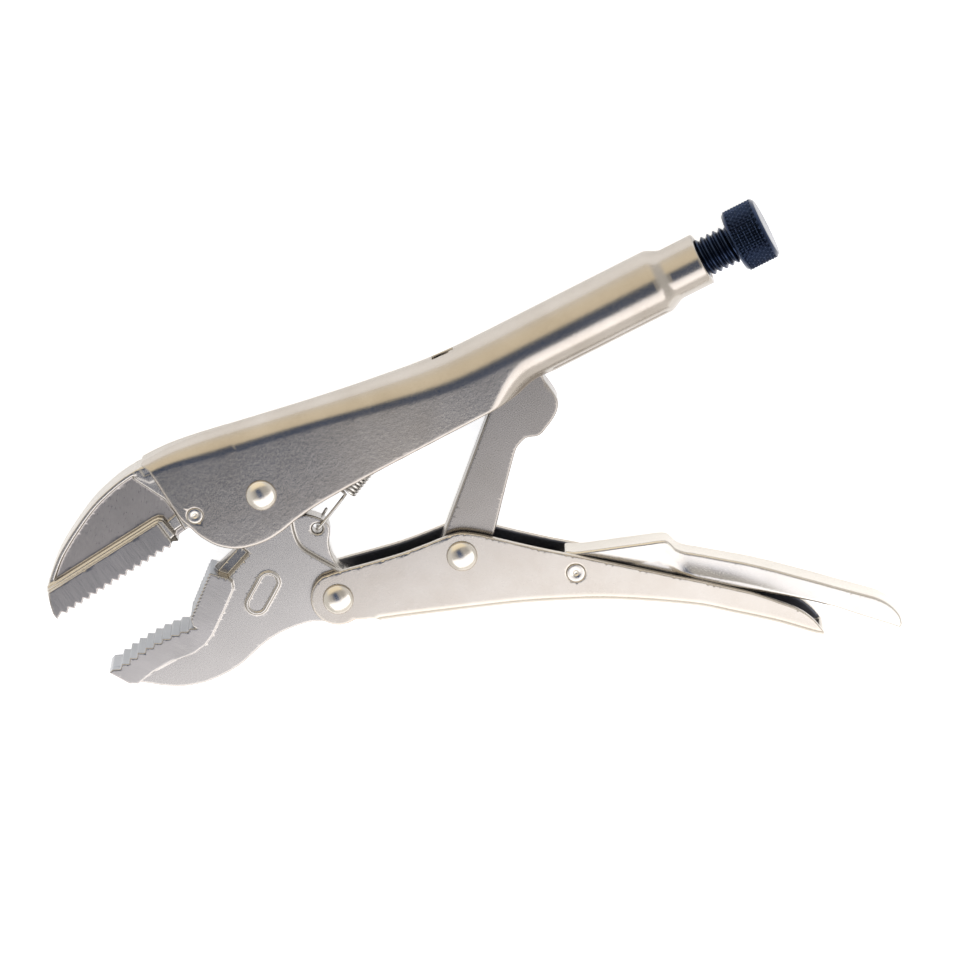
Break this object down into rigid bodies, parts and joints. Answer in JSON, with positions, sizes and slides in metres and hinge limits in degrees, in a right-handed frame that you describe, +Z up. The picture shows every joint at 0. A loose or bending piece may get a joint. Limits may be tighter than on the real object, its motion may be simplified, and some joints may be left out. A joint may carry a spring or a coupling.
{
  "type": "locking pliers",
  "caption": "Locking pliers with curved toothed jaws, wire cutter, toggle linkage, release lever and a knurled adjusting screw, shown with the jaws open.",
  "frame": {"origin": "middle of the tool's outline, on the surface it lies on", "axes": "+X from the jaws to the knob, along the adjusting screw; +Y towards the back of the upper handle; +Z up, across the thickness of the tool as it lies on its side"},
  "size_m": [0.249, 0.156, 0.0204],
  "materials": {
    "nickel_plate": "satin nickel plate over pressed sheet steel",
    "jaw_steel": "satin nickel plate over forged steel, ground on the toothed strips",
    "rivet_steel": "bright nickel",
    "spring_wire": "bright drawn wire",
    "black_oxide": "black oxide, slightly oily"
  },
  "bodies": {
    "upper_frame": {"upper_handle": "nickel_plate", "upper_jaw": "jaw_steel", "upper_jaw_pin": "rivet_steel", "main_pivot_rivet": "rivet_steel", "return_spring": "spring_wire"},
    "lower_jaw_body": {"lower_jaw": "jaw_steel"},
    "lower_handle_body": {"lower_handle": "nickel_plate", "jaw_handle_rivet": "rivet_steel", "link_rivet": "rivet_steel", "release_lever_pin": "rivet_steel"},
    "link_body": {"toggle_link": "nickel_plate"},
    "lever_body": {"release_lever": "nickel_plate"},
    "screw_body": {"adjusting_screw": "black_oxide"},
    "knob_body": {"knurled_knob": "black_oxide"}
  },
  "joints": [
    {"name": "jaw_pivot", "type": "hinge", "parent": "upper_frame", "child": "lower_jaw_body", "pos_m": [-0.0495, 0.0526, 0.0102], "axis": [0, 0, 1], "range_deg": [-16.4, 0], "stiffness_Nm_per_rad": 0.15, "springref_deg": 28.65, "deforming": ["return_spring"]},
    {"name": "handle_pivot", "type": "hinge", "parent": "lower_jaw_body", "child": "lower_handle_body", "pos_m": [-0.0446, 0.0121, 0.0102], "axis": [0, 0, 1], "range_deg": [0, 47.1]},
    {"name": "link_pivot", "type": "hinge", "parent": "lower_handle_body", "child": "link_body", "pos_m": [-0.0045, 0.0067, 0.0102], "axis": [0, 0, 1], "range_deg": [-52.7, 0]},
    {"name": "release_pivot", "type": "hinge", "parent": "lower_handle_body", "child": "lever_body", "pos_m": [0.0238, -0.0144, 0.0102], "axis": [0, 0, 1], "range_deg": [-4.5, 3.5]},
    {"name": "screw_travel", "type": "slide", "parent": "upper_frame", "child": "screw_body", "axis": [1, 0, 0], "range_m": [0, 0.012]},
    {"name": "knob_spin", "type": "hinge", "parent": "screw_body", "child": "knob_body", "pos_m": [0.1185, 0.0546, 0.0102], "axis": [1, 0, 0], "range_deg": [0, 2160]}
  ],
  "couplings": [
    {"joint": "handle_pivot", "follows": "jaw_pivot", "ratio": -2.87},
    {"joint": "link_pivot", "follows": "jaw_pivot", "ratio": 3.21},
    {"joint": "knob_spin", "follows": "screw_travel", "rad_per_m": 3141.6}
  ]
}
